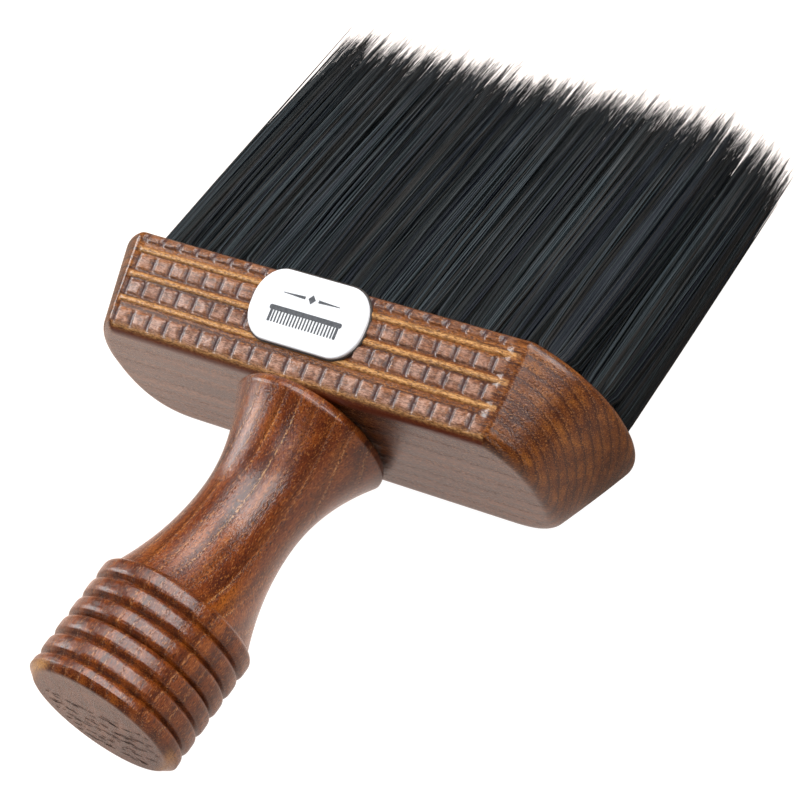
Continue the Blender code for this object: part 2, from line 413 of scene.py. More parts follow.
def varnished_wood(name, grain, tones, shares, coat_roughness, wear):
    """Stain under a glossy coat.

    grain is (axis, ring centre, ring pitch), and shares are those of the dark late wood and of the golden
    pore lines, which are fainter on the beads. wear returns the colour with its wear, and on the block with
    painted reflection and shade.
    """
    recipe = Recipe(name)
    figure = WoodFigure(recipe, *grain)
    along_brush = recipe.part(figure.place, "Y")
    lines = recipe.product(figure.gold, shares[1])
    lines = recipe.product(lines, recipe.span(along_brush, BEADS_TOP_Y, NECK_START_Y, BEAD_LINE_SHARE, 1.0))
    colour = recipe.ramp(figure.bands, tuple(zip(TONE_STOPS, tones)))
    colour = recipe.mix(recipe.product(figure.late, shares[0]), colour, LATE_WOOD)
    colour = recipe.mix(recipe.span(figure.fibre, 0.50, 0.67, 0.0, 0.86), colour, DARK_FIBRE)
    colour = recipe.mix(recipe.span(figure.fibre, 0.44, 0.31, 0.0, 0.60), colour, LIGHT_FIBRE)
    colour = recipe.mix(recipe.product(figure.pits, 0.60), colour, PIT_STAIN)
    colour = recipe.mix(lines, colour, GOLDEN_LINE)
    colour = wear(recipe, figure, colour)
    relief = recipe.sum(recipe.product(figure.pits, -0.9), recipe.product(figure.fibre, -0.80))
    return recipe.finish(
        Base_Color=colour,
        Roughness=recipe.span(figure.bands, 0.3, 0.7, 0.50, 0.40),
        Specular_IOR_Level=0.1,
        Normal=recipe.bump(relief, 0.60, PORE_DEPTH),
        Coat_Weight=1.0,
        Coat_Roughness=coat_roughness,
        Coat_IOR=1.5,
        Coat_Normal=recipe.bump(relief, 0.60, PORE_DEPTH),
    )


def worn_end(recipe, figure, colour):
    """Golden wear on two sides of the handle's rim."""
    height = recipe.part(figure.place, "Y")
    across = recipe.length(recipe.scaled(figure.place, (1.0, 0.0, 1.0)))
    rim = recipe.product(recipe.span(height, *WEAR_HEIGHTS), recipe.span(across, *WEAR_RADII))
    sockets = {"Vector": figure.place, "Axis": (0.0, 1.0, 0.0), "Angle": math.radians(WEAR_TURN)}
    turned = recipe.part(recipe.add("ShaderNodeVectorRotate", sockets).outputs[0], "X")
    squared = recipe.product(turned, turned)
    sides = recipe.span(squared, *WEAR_SIDES_SQUARED)
    patchy = recipe.product(recipe.product(rim, sides), recipe.span(figure.fibre, 0.60, 0.46, 0.35, 1.0))
    return recipe.mix(patchy, colour, WORN_RIM)


def worn_carving(recipe, figure, colour):
    """Golden wear on the ridges, stud faces paled by a painted reflection, dark stain with painted shade in
    the gaps and darker red on the lower rim.
    """
    streaks = recipe.noise(recipe.scaled(figure.place, (1.1, 3.2, 3.2)), detail=2.0)
    rubbed = recipe.product(recipe.attribute("worn"), recipe.span(streaks, 0.36, 0.60, 0.28, 0.80))
    rubbed = recipe.product(rubbed, recipe.span(figure.fibre, 0.62, 0.46, 0.45, 1.0))
    colour = recipe.mix(rubbed, colour, WORN_RIDGE)
    # Paler stud faces: a painted reflection of a soft light, broken up by a cloud and the fibre.
    cloud = recipe.noise(recipe.scaled(figure.place, (0.50, 0.60, 0.60)), detail=2.0)
    speckle = recipe.span(figure.fibre, 0.62, 0.42, 0.45, 1.0)
    pale = recipe.product(recipe.span(cloud, 0.36, 0.60, 0.25, 0.85), speckle)
    pale = recipe.product(recipe.attribute("painted_facet_sheen"), pale)
    colour = recipe.mix(pale, colour, FACET_SHEEN_PAINT)
    # Gaps between studs: dark stain and painted shade.
    colour = recipe.mix(recipe.product(recipe.attribute("groove"), 0.75), colour, GAP_STAIN_AND_SHADE)
    # Darker red on the lower rounded edge.
    return recipe.mix(recipe.product(recipe.attribute("rim"), 0.88), colour, LOWER_EDGE_RED)


def handle_wood():
    grain = (1, HANDLE_RING_CENTRE, HANDLE_RING_PITCH)
    return varnished_wood("handle_wood", grain, HANDLE_TONES, (0.50, 0.62), 0.14, worn_end)


def block_wood():
    """The carved front's marks (worn ridges, painted reflection on the stud faces, stain and painted shade in
    the gaps, the darker lower edge) are in the block's own attributes, so one wood covers the whole block.
    """
    grain = (0, (0.0, *BLOCK_RING_CENTRE), BLOCK_RING_PITCH)
    return varnished_wood("block_wood", grain, BLOCK_TONES, (0.82, 0.14), 0.18, worn_carving)


def bare_wood():
    """Pale turned dowel with fine fibre."""
    recipe = Recipe("bare_wood")
    figure = WoodFigure(recipe, 1, (14.0, 0.0, 20.0), 1.9)
    body = recipe.ramp(figure.bands, ((0.3, (0.52, 0.34, 0.18)), (0.7, (0.72, 0.53, 0.32))))
    colour = recipe.mix(recipe.product(figure.late, 0.4), body, (0.40, 0.25, 0.12))
    colour = recipe.mix(recipe.span(figure.fibre, 0.5, 0.7, 0.0, 0.35), colour, (0.33, 0.20, 0.10))
    return recipe.finish(Base_Color=colour, Roughness=0.62, Normal=recipe.bump(figure.fibre, 0.3, 0.1 * MM))


def badge_plastic():
    """Cool white with a faint mottle."""
    recipe = Recipe("badge_plastic")
    place = recipe.place()
    mottle = recipe.noise(recipe.scaled(place, (0.35, 0.35, 0.35)), detail=4.0)
    grain = recipe.noise(recipe.scaled(place, (6.0, 6.0, 6.0)), detail=2.0)
    colour = recipe.ramp(mottle, ((0.3, (0.72, 0.74, 0.77)), (0.7, (0.80, 0.81, 0.83))))
    return recipe.finish(
        Base_Color=colour,
        Roughness=recipe.span(mottle, 0.3, 0.7, 0.32, 0.42),
        Normal=recipe.bump(grain, 0.08, 0.05 * MM),
    )


def badge_ink():
    recipe = Recipe("badge_ink")
    place = recipe.place()
    wear = recipe.noise(recipe.scaled(place, (1.6, 1.6, 1.6)), detail=3.0)
    colour = recipe.ramp(wear, ((0.35, (0.030, 0.034, 0.042)), (0.75, (0.075, 0.080, 0.092))))
    return recipe.finish(Base_Color=colour, Roughness=0.45)


# Each tone has a shaft colour and a paler tip colour; the tip's paleness is painted light showing through the
# thin ends.
BRISTLE_TONES = (
    ("charcoal", (0.003, 0.006, 0.007), (0.010, 0.012, 0.013)),
    ("blue_black", (0.001, 0.004, 0.010), (0.008, 0.012, 0.018)),
    ("brown_black", (0.009, 0.008, 0.007), (0.020, 0.017, 0.016)),
    # Slate filaments: a paler tone, and partly painted sheen streaks along the hair.
    ("slate_sheen", (0.026, 0.037, 0.043), (0.042, 0.046, 0.048)),
)
BRISTLE_TONE_SHARES = (0.38, 0.27, 0.15, 0.20)


def bristle_materials():
    """Two finishes for each tone of filament: its shaft, and its finer tip, greyer with painted light showing
    through the thin ends.
    """
    made = []
    for tone, shaft, tip in BRISTLE_TONES:
        for part, colour, roughness in (("shaft", shaft, 0.50), ("tip", tip, 0.60)):
            recipe = Recipe(f"bristle_{tone}_{part}")
            sockets = {"Base_Color": (*colour, 1.0), "Roughness": roughness, "Specular_IOR_Level": 0.26}
            made.append(recipe.finish(**sockets))
    return made


# Handle -------------------------------------------------------------------------------------------------


def bead_radius_at(height):
    """Rounded beads with a flatter crown and a narrow groove between them."""
    nearest = min(BEAD_COUNT - 1, max(0, round((height - FIRST_BEAD_Y) / BEAD_PITCH)))
    offset = abs(height - (FIRST_BEAD_Y + nearest * BEAD_PITCH)) / (BEAD_PITCH / 2)
    return BEAD_RADIUS - BEAD_DEPTH * offset**BEAD_FLATNESS


def neck_radius_at(height):
    """Two parabolas that meet at the waist."""
    foot = FIRST_BEAD_Y + (BEAD_COUNT - 0.5) * BEAD_PITCH
    end_y, end_radius = (foot, NECK_FOOT_RADIUS) if height < WAIST_Y else (FLARE_Y, FLARE_RADIUS)
    return WAIST_RADIUS + (end_radius - WAIST_RADIUS) * ((height - WAIST_Y) / (end_y - WAIST_Y)) ** 2


def handle_profile(top):
    """(radius, height) from the middle of the end face, up the outside, to the dowel's hole and its foot."""
    foot = FIRST_BEAD_Y + (BEAD_COUNT - 0.5) * BEAD_PITCH
    dowel_low, dowel_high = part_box("handle_dowel")
    hole = (dowel_high.x - dowel_low.x) / 2 + GAP
    seat_radius = FLARE_RADIUS - SEAT_INSET
    face = [(0.0, 0.0)] + [(END_FACE_RADIUS * share, 0.0) for share in np.linspace(0.1, 0.95, 12)]
    rim = arc((END_FACE_RADIUS - RIM_INSET, RIM_HEIGHT), (RIM_WIDTH, RIM_HEIGHT), -90, -25, 7)
    beads = [(bead_radius_at(y), y) for y in np.arange(FIRST_BEAD_Y - 0.2 * MM, foot, PROFILE_STEP)]
    neck = [(neck_radius_at(y), y) for y in np.linspace(foot + 0.1 * MM, FLARE_Y, 90)]
    shoulder = arc((seat_radius, FLARE_Y), (FLARE_RADIUS - seat_radius, top - FLARE_Y), 8, 90, 12)
    inside = [(hole, top), (hole, dowel_low.y - GAP), (0.0, dowel_low.y - GAP)]
    return face + rim + beads + neck + shoulder + inside


def turned_mesh(profile, sides):
    """Vertices and faces of a profile turned about +Y; its first and last points are on the axis."""
    angles = [2 * math.pi * i / sides for i in range(sides)]
    vertices = [(0.0, profile[0][1], 0.0)]
    for radius, height in profile[1:-1]:
        vertices += [(radius * math.sin(a), height, radius * math.cos(a)) for a in angles]
    vertices.append((0.0, profile[-1][1], 0.0))
    rings = len(profile) - 2
    last = len(vertices) - 1
    faces = []
    for i in range(sides):
        after = (i + 1) % sides
        faces.append((0, 1 + i, 1 + after))
        faces.append((last, last - sides + after, last - sides + i))
        for ring in range(rings - 1):
            low = 1 + ring * sides
            high = low + sides
            faces.append((low + i, high + i, high + after, low + after))
    return vertices, faces


def make_end_pores(rng):
    """Open pores filled with dark stain, in short dashes along the growth layers of the end face."""
    recipe = Recipe("pore_stain")
    mottle = recipe.noise(recipe.scaled(recipe.place(), (3.0, 3.0, 3.0)), detail=2.0)
    colour = recipe.ramp(mottle, ((0.3, (0.016, 0.010, 0.008)), (0.7, (0.060, 0.036, 0.028))))
    stain = recipe.finish(Base_Color=colour, Roughness=0.7, Specular_IOR_Level=0.15)
    vertices, faces = [], []
    for layer in PORE_LAYERS:
        for _ in range(PORES_PER_LAYER):
            x = rng.uniform(-PORE_REACH_X, PORE_REACH_X)
            z = layer + rng.normal(0, PORE_SCATTER)
            half = rng.uniform(*PORE_HALF_LENGTHS)
            z += (x / PORE_BOW_LENGTH) ** 2 * PORE_BOW - x * PORE_SLOPE
            if math.hypot(abs(x) + half, z) > PORE_REACH:
                continue
            thick = rng.uniform(*PORE_HALF_WIDTHS)
            lean = half * PORE_SLOPE
            outline = [(x - half, z + lean), (x, z - thick), (x + half, z - lean), (x, z + thick)]
            first = len(vertices)
            for y in PORE_HEIGHTS:
                vertices += [(px * MM, y, pz * MM) for px, pz in outline]
            faces.append((first, first + 1, first + 2, first + 3))
            faces.append((first + 7, first + 6, first + 5, first + 4))
            for i in range(4):
                after = (i + 1) % 4
                faces.append((first + i, first + 4 + i, first + 4 + after, first + after))
    pores = mesh_object("handle_end_pores", vertices, faces, stain, [])
    tidy_normals(pores)


def make_handle():
    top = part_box("handle")[1].y
    vertices, faces = turned_mesh(handle_profile(top), HANDLE_SIDES)
    handle = mesh_object("handle_turned", vertices, faces, handle_wood(), ["handle"])
    handle.data.set_sharp_from_angle(angle=math.radians(55))


# Head block ---------------------------------------------------------------------------------------------


def soft_box(offset, half, edge):
    """1 within half of the middle, falling to 0 over edge."""
    return ease((half + edge - np.abs(offset)) / edge)


def carving(x, share, slope_length, stud_looks):
    """Relief of the carved front along x at a share of its height, and its (ridge, stud face sheen, gap, rim)
    marks; the stud faces take a painted reflection, the gaps stain and painted shade.
    """
    number = np.clip(np.floor((x - FIRST_GAP_X) / STUD_PITCH), 0, stud_looks.shape[2] - 1).astype(int)
    in_pitch = (x - FIRST_GAP_X) % STUD_PITCH
    from_gap = np.minimum(in_pitch, STUD_PITCH - in_pitch)
    across = ease((from_gap - STUD_GAP / 2 + STUD_BEVEL / 2) / STUD_BEVEL)
    studs = np.zeros_like(x)
    stud_face_sheen = np.zeros_like(x)
    gaps = np.zeros_like(x)
    for row, (at, half, sheen_share) in enumerate(zip(STUD_ROWS, STUD_HALF_HEIGHTS, STUD_FACET_SHEEN)):
        offset = (share - at) * slope_length
        up = soft_box(offset, half - STUD_TOP_INSET, STUD_BEVEL)
        taller, lean, tip = stud_looks[:, row, number]
        tilt = taller + lean * (in_pitch / STUD_PITCH - 0.5) * 2 + tip * offset / half
        own = 1.0 + STUD_UNEVENNESS * tilt
        studs = np.maximum(studs, up * across * own)
        # Stud faces, which take a painted reflection of a soft light.
        stud_face_sheen = np.maximum(stud_face_sheen, up * across * sheen_share)
        # Gaps between studs, sunk in the relief and darkened with stain and painted shade.
        gaps = np.maximum(gaps, up * (1.0 - across))
    ridges = np.zeros_like(x)
    for at in RIDGE_ROWS:
        offset = (share - at) * slope_length / RIDGE_HALF_WIDTH
        ridges = np.maximum(ridges, np.sqrt(np.clip(1.0 - offset**2, 0.0, 1.0)))
    fade = ease((share - CARVING_FOOT) / CARVING_FOOT_FADE) * ease((1.0 - share) / CARVING_TOP_FADE)
    left_fade = ease((x - FIRST_GAP_X + CARVING_MARGIN) / CARVING_LEFT_FADE)
    stud_zone = left_fade * ease((STUDS_END_X - x) / STUDS_END_FADE) * fade
    ridge_zone = left_fade * ease((RIDGES_END_X - x) / RIDGES_END_FADE) * fade
    ridges = ridges * ridge_zone
    sunk = lerp(1.0, np.maximum(studs, CHANNEL_RISE * (1.0 - gaps)), stud_zone)
    height = np.maximum(sunk, ridges)
    rim = ease((RIM_SHARE - share) / RIM_SHARE) * np.ones_like(x)
    return (height - 1.0) * CARVING_DEPTH, np.stack([ridges, stud_face_sheen * stud_zone, gaps * stud_zone, rim])


def rounded_end(turn, fullness):
    """The right end for a radius of 1, from the back to the crease: round in front, fuller behind."""
    points = []
    for x, z in arc((0.0, 0.0), (1.0, 1.0), -90, turn, END_POINTS)[:-1]:
        power = fullness if z < 0 else 2.0
        reach = (abs(x) ** power + abs(z) ** power) ** (-1 / power)
        points.append((x * reach, z * reach))
    return points


def block_outline(share, inset):
    """Points (x, z) of one outline: the flat front from right to left, then round the left end and back."""
    radius = lerp(END_RADIUS_BOTTOM, END_RADIUS_TOP, share) - inset
    front = lerp(FRONT_BOTTOM_Z, FRONT_TOP_Z, share) - inset
    fillet_x = END_CENTRE_X + math.sqrt((radius - CREASE_ROUND) ** 2 - (front - CREASE_ROUND) ** 2)
    fillet_z = front - CREASE_ROUND
    turn = math.degrees(math.atan2(fillet_z, fillet_x - END_CENTRE_X))
    line = [(x, front) for x in np.linspace(fillet_x, -fillet_x, FRONT_POINTS)]
    crease = arc((fillet_x, fillet_z), (CREASE_ROUND, CREASE_ROUND), turn, 90, 6)[:-1]
    fullness = lerp(BACK_FULLNESS_BOTTOM, BACK_FULLNESS_TOP, share)
    end = [(END_CENTRE_X + x * radius, z * radius) for x, z in rounded_end(turn, fullness)]
    right = end + crease
    left = [(-x, z) for x, z in reversed(right)]
    back = [(x, -radius) for x in np.linspace(-END_CENTRE_X, END_CENTRE_X, BACK_POINTS)[1:-1]]
    return np.array(line + left + back + right)


def block_levels(bottom, top):
    """(height, inset) of each outline, with both long edges rounded.

    The first is flat on the underside, just inside the rounded edge, so that the rim's darker red ends there.
    """
    quarter = np.radians(np.linspace(0, 90, 9))
    inset = EDGE_ROUND * (1 - np.sin(quarter))
    rise = EDGE_ROUND * (1 - np.cos(quarter))
    middle = np.linspace(bottom + EDGE_ROUND, top - EDGE_ROUND, BLOCK_LEVELS)[1:-1]
    low = [(bottom, EDGE_ROUND + FOOT_INSET)] + list(zip(bottom + rise, inset))
    high = list(zip(top - rise[::-1], inset[::-1]))
    return low + [(height, 0.0) for height in middle] + high


def tuft_places(block_top, tip_y):
    """(name, root, tip) of each tuft, as the CAD nodes have them."""
    for row, (count, half_length) in enumerate(ROWS):
        z = ((len(ROWS) - 1) / 2 - row) * ROW_PITCH
        for number in range(count):
            x = half_length * (2 * number / (count - 1) - 1)
            root = Vector((x, block_top, FIELD_Z + z))
            tip = Vector((x * TIP_SPREAD_X, tip_y, TIP_FIELD_Z + z * TIP_SPREAD_Z))
            yield f"r{row + 1}_{number + 1:02d}", root, tip


def drilled_cap(outline_ids, vertices, height, tufts):
    """Faces of the block's top between its outline and the tuft holes, with each hole's wall and floor."""
    sides = 20
    turns = [2 * math.pi * i / sides for i in range(sides)]
    flat = [Vector((vertices[i][0], vertices[i][2])) for i in outline_ids]
    loops = [list(range(len(flat)))]
    ids = list(outline_ids)
    for _, root, _ in tufts:
        loops.append(list(range(len(flat), len(flat) + sides)))
        for a in turns:
            point = (root.x + HOLE_RADIUS * math.cos(a), height, root.z + HOLE_RADIUS * math.sin(a))
            flat.append(Vector((point[0], point[2])))
            ids.append(len(vertices))
            vertices.append(point)
    points, _, triangles, origins, _, _ = delaunay_2d_cdt(flat, [], loops, 1, 1e-7)
    holes = [Vector((root.x, root.z)) for _, root, _ in tufts]
    faces = []
    for triangle in triangles:
        centre = sum((points[i] for i in triangle), Vector((0.0, 0.0))) / 3
        if min((centre - hole).length for hole in holes) < HOLE_RADIUS * 0.97:
            continue
        faces.append(tuple(ids[origins[i][0]] for i in triangle))
    for loop in loops[1:]:
        mouth = [ids[i] for i in loop]
        floor = []
        for i in mouth:
            x, y, z = vertices[i]
            floor.append(len(vertices))
            vertices.append((x, y - HOLE_DEPTH, z))
        for i in range(sides):
            after = (i + 1) % sides
            faces.append((mouth[i], mouth[after], floor[after], floor[i]))
        faces.append(tuple(floor))
    return faces


def make_head_block():
    low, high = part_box("head_block")
    slope = math.atan2(FRONT_TOP_Z - FRONT_BOTTOM_Z, high.y - low.y)
    slope_length = (high.y - low.y) / math.cos(slope)
    outward = np.array([0.0, -math.sin(slope), math.cos(slope)])
    stud_looks = np.random.default_rng(SEED).uniform(-1, 1, (3, len(STUD_ROWS), 64))
    vertices, marks, rings = [], [], []
    for number, (height, inset) in enumerate(block_levels(low.y, high.y)):
        share = (height - low.y) / (high.y - low.y)
        outline = block_outline(share, inset)
        points = np.stack([outline[:, 0], np.full(len(outline), height), outline[:, 1]], axis=1)
        front_x = outline[:FRONT_POINTS, 0]
        relief, here = carving(front_x, share, slope_length, stud_looks)
        points[:FRONT_POINTS] += relief[:, None] * outward
        rings.append(range(len(vertices), len(vertices) + len(points)))
        vertices += [tuple(point) for point in points]
        if number == 0:
            here = np.zeros_like(here)
        marks.append(np.pad(here, ((0, 0), (0, len(points) - FRONT_POINTS))))
    faces = []
    for lower, upper in zip(rings, rings[1:]):
        count = len(lower)
        for i in range(count):
            after = (i + 1) % count
            faces.append((lower[i], lower[after], upper[after], upper[i]))
    faces.append(tuple(rings[0]))
    tufts = list(tuft_places(high.y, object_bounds()[1].y))
    faces += drilled_cap(list(rings[-1]), vertices, high.y, tufts)
    block = mesh_object("head_block_carved", vertices, faces, block_wood(), ["head_block"])
    # Marks for the finish: worn ridges, stud faces for a painted reflection, gaps for stain and painted
    # shade, and the darker lower edge.
    for name, values in zip(("worn", "painted_facet_sheen", "groove", "rim"), np.concatenate(marks, axis=1)):
        attribute = block.data.attributes.new(name, "FLOAT", "POINT")
        filled = np.zeros(len(block.data.vertices), np.float32)
        filled[: len(values)] = values
        attribute.data.foreach_set("value", filled)
    tidy_normals(block)
    block.data.set_sharp_from_angle(angle=math.radians(50))


def tidy_normals(obj):
    bm = bmesh.new()
    bm.from_mesh(obj.data)
    bmesh.ops.recalc_face_normals(bm, faces=bm.faces)
    bm.to_mesh(obj.data)
    bm.free()


# Badge --------------------------------------------------------------------------------------------------


def badge_frame():
    """Matrix from the badge's own plane (x along it, y up it, z outwards) to the frame."""
    low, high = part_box("head_block")
    slope = math.atan2(FRONT_TOP_Z - FRONT_BOTTOM_Z, high.y - low.y)
    middle = (
        BADGE_SHIFT_X,
        lerp(low.y, high.y, BADGE_RISE),
        lerp(FRONT_BOTTOM_Z, FRONT_TOP_Z, BADGE_RISE),
    )
    return Matrix.Translation(middle) @ Matrix.Rotation(slope, 4, "X")


def make_badge_shadow_ring(frame_matrix):
    """A dark line that shows round the badge, a little below its face: a painted shadow along the badge's
    edge.
    """
    recipe = Recipe("badge_shadow_paint")
    mottle = recipe.noise(recipe.scaled(recipe.place(), (2.0, 2.0, 2.0)), detail=2.0)
    # Near-black mottle painted as the shadow along the badge's edge.
    colour = recipe.ramp(mottle, ((0.3, (0.020, 0.014, 0.012)), (0.7, (0.050, 0.036, 0.030))))
    shadow_finish = recipe.finish(Base_Color=colour, Roughness=0.55)
    rings = [badge_ring(-BADGE_LINE, height) for height in (-0.45 * MM, 0.12 * MM)]
    rings.append(badge_ring(-BADGE_LINE * 0.6, 0.20 * MM))
    stacked_rings("badge_shadow_line", rings, frame_matrix, shadow_finish, [])


def stacked_rings(name, rings, frame_matrix, finish, node_names):
    """A closed body through rings of the badge's outline, in the badge's own plane."""
    vertices = [tuple(frame_matrix @ Vector(point)) for ring in rings for point in ring]
    count = len(rings[0])
    faces = [tuple(reversed(range(count)))]
    for ring in range(len(rings) - 1):
        for i in range(count):
            after = (i + 1) % count
            low = ring * count
            faces.append((low + i, low + after, low + count + after, low + count + i))
    faces.append(tuple(range((len(rings) - 1) * count, len(rings) * count)))
    body = mesh_object(name, vertices, faces, finish, node_names)
    body.data.set_sharp_from_angle(angle=math.radians(40))


def badge_ring(inset, height):
    x = BADGE_LENGTH / 2 - BADGE_CORNER
    y = BADGE_WIDTH / 2 - BADGE_CORNER
    radii = (BADGE_CORNER - inset, BADGE_CORNER - inset)
    corners = ((x, y, 0), (-x, y, 90), (-x, -y, 180), (x, -y, 270))
    flat = [point for cx, cy, turn in corners for point in arc((cx, cy), radii, turn, turn + 90, 20)]
    return [(px, py, height) for px, py in flat]


def make_badge(frame_matrix):
    foot = 0.10 * MM
    quarter = np.radians(np.linspace(0, 90, 7))
    rings = [badge_ring(0.0, foot)]
    for a in quarter:
        height = BADGE_THICKNESS - BADGE_EDGE * (1 - math.sin(a))
        rings.append(badge_ring(BADGE_EDGE * (1 - math.cos(a)), height))
    rings.append(badge_ring(BADGE_CORNER * 0.5, BADGE_THICKNESS))
    stacked_rings("badge_plate_rounded", rings, frame_matrix, badge_plastic(), ["badge_plate"])


def raised_shapes(name, outlines, frame_matrix, finish):
    """Flat shapes, each an outline in the badge's plane, raised a little above its face."""
    low = BADGE_THICKNESS - 0.02 * MM
    high = BADGE_THICKNESS + 0.06 * MM
    vertices, faces = [], []
    for outline in outlines:
        first = len(vertices)
        count = len(outline)
        for height in (low, high):
            vertices += [tuple(frame_matrix @ Vector((x, y, height))) for x, y in outline]
        faces.append(tuple(first + count + i for i in range(count)))
        faces.append(tuple(first + i for i in reversed(range(count))))
        for i in range(count):
            after = (i + 1) % count
            faces.append((first + i, first + after, first + count + after, first + count + i))
    shapes = mesh_object(name, vertices, faces, finish, [])
    tidy_normals(shapes)
    shapes.data.set_sharp_from_angle(angle=math.radians(30))


def rounded_bar(x, y, width, height, corner):
    """Outline of a bar with rounded corners, centred on (x, y)."""
    dx = width / 2 - corner
    dy = height / 2 - corner
    corners = ((dx, dy, 0), (-dx, dy, 90), (-dx, -dy, 180), (dx, -dy, 270))
    parts = [arc((x + cx, y + cy), (corner, corner), turn, turn + 90, 4) for cx, cy, turn in corners]
    return [point for part in parts for point in part]


def make_badge_comb(frame_matrix, ink):
    """A plain comb: a spine with a thick guard tooth at each end and fine teeth between them."""
    length = 18.4 * MM
    spine_y = -0.6 * MM
    spine_height = 0.95 * MM
    spine_round = 0.45 * MM
    tooth_height = 2.3 * MM
    tooth_pitch = 0.80 * MM
    tooth_width = 0.34 * MM
    guard_width = 0.62 * MM
    tooth_round = 0.15 * MM
    shapes = [rounded_bar(0.0, spine_y, length, spine_height, spine_round)]
    tooth_y = spine_y - spine_round - tooth_height / 2
    count = int(length / tooth_pitch) - 1
    for i in range(count):
        x = (i - (count - 1) / 2) * tooth_pitch
        width = guard_width if i in (0, count - 1) else tooth_width
        shapes.append(rounded_bar(x, tooth_y, width, tooth_height, tooth_round))
    raised_shapes("badge_comb", shapes, frame_matrix, ink)


def make_badge_divider(frame_matrix, ink):
    """A small diamond between two tapering rules, above the comb."""
    y = 2.6 * MM
    point = 0.9 * MM
    thick = 0.28 * MM
    thin = 0.05 * MM
    shapes = [[(point, y), (0.0, y + point), (-point, y), (0.0, y - point)]]
    for side in (1, -1):
        near = side * 1.7 * MM
        far = side * 7.2 * MM
        shapes.append([(near, y + thick), (far, y + thin), (far, y - thin), (near, y - thick)])
    raised_shapes("badge_divider", shapes, frame_matrix, ink)


# Bristles -----------------------------------------------------------------------------------------------


def disc_from_square(a, b):
    """A square's points moved onto the unit disc, so that neighbours stay neighbours."""
    return a * np.sqrt(1 - b * b / 2), b * np.sqrt(1 - a * a / 2)


def within_field(across, share, slack):
    """Points (x, z) drawn in to the field's outline: a long shape with round ends, narrower at the tips."""
    reach = lerp(FIELD_ROOT_RADIUS, FIELD_TIP_RADIUS, share) + slack * share**2
    core = np.clip(across[..., 0], -FIELD_CORE_X, FIELD_CORE_X)
    middle = np.stack([core, lerp(FIELD_Z, TIP_FIELD_Z, share)], axis=-1)
    out = across - middle
    distance = np.maximum(np.linalg.norm(out, axis=-1), 1e-6)
    soft = np.where(distance > reach, reach + (distance - reach) * FIELD_SOFTNESS, distance)
    return middle + out * (soft / distance)[..., None]


def tuft_lines(rng, root, tip):
    """(points, radii, tones) of every filament: bound in the hole, flaring, then drawn into clumps."""
    count = FILAMENTS_PER_TUFT
    a = rng.uniform(-1, 1, count)
    b = rng.uniform(-1, 1, count)
    pitch_x = 2 * ROWS[1][1] / (ROWS[1][0] - 1)
    body = np.stack([a * pitch_x, b * ROW_PITCH], axis=1) * BODY_SHARE
    bound = np.stack(disc_from_square(a, b), axis=1) * (HOLE_RADIUS - 0.2 * MM)

    clump_at = rng.uniform(-1, 1, (CLUMPS_PER_TUFT, 2)) * np.array([pitch_x, ROW_PITCH]) * CLUMP_FIELD_SHARE
    gaps = np.linalg.norm(body[:, None, :] - clump_at[None, :, :], axis=2)
    clump = gaps.argmin(axis=1)
    from_clump = gaps.min(axis=1)
    clump_sway = rng.normal(0, CLUMP_SWAY, (CLUMPS_PER_TUFT, 2))[clump]
    clump_length = rng.uniform(*CLUMP_LENGTHS, CLUMPS_PER_TUFT)[clump]
    own_sway = rng.normal(0, FILAMENT_SWAY, (count, 2))
    shorter = np.abs(rng.normal(0, FILAMENT_SHORTFALL, count)) + from_clump * CLUMP_EDGE_SHORTFALL

    length = (tip.y - root.y) + FILAMENT_PAST_TIP + clump_length - shorter
    steps = np.array(FILAMENT_STEPS)
    up = FILAMENT_FOOT + (length[:, None] - FILAMENT_FOOT) * steps[None, :]
    share = np.clip(up / (tip.y - root.y), 0, 1.1)
    flare = ease((up + FLARE_START) / FLARE_LENGTH)
    pull = CLUMP_PULL * ease((share + 0.25) / 1.25)
    gathered = flare * lerp(BODY_ROOT_SHARE, 1.0, ease(share / BODY_FULL_AT))
    offset = bound[:, None, :] * (1 - flare[..., None]) + body[:, None, :] * gathered[..., None]
    offset = offset + (clump_at[clump][:, None, :] - body[:, None, :]) * (pull * flare)[..., None]
    narrowing = np.stack([lerp(1.0, TIP_SPREAD_X, share), lerp(1.0, TIP_SPREAD_Z, share)], axis=2)
    offset = offset * narrowing
    offset = offset + clump_sway[:, None, :] * (share**1.5)[..., None]
    offset = offset + own_sway[:, None, :] * share[..., None]
    centre = np.array([root.x, root.z]) + share[..., None] * np.array([tip.x - root.x, tip.z - root.z])
    slack = rng.uniform(*FIELD_SLACK, CLUMPS_PER_TUFT)[clump][:, None]
    across = within_field(centre + offset, share, slack)
    points = np.stack([across[..., 0], root.y + up, across[..., 1]], axis=2)
    own_radius = FILAMENT_RADIUS * rng.uniform(*FILAMENT_THICKNESS, count)
    taper = 1.0 - TAPER_LOSS * ease((steps - TAPER_START) / (1.0 - TAPER_START))
    radii = own_radius[:, None] * taper[None, :]
    clump_tones = rng.choice(len(BRISTLE_TONES), CLUMPS_PER_TUFT, p=BRISTLE_TONE_SHARES)[clump]
    own_tones = rng.choice(len(BRISTLE_TONES), count, p=BRISTLE_TONE_SHARES)
    tones = np.where(rng.random(count) < CLUMP_TONE_SHARE, clump_tones, own_tones)
    return points, radii, tones


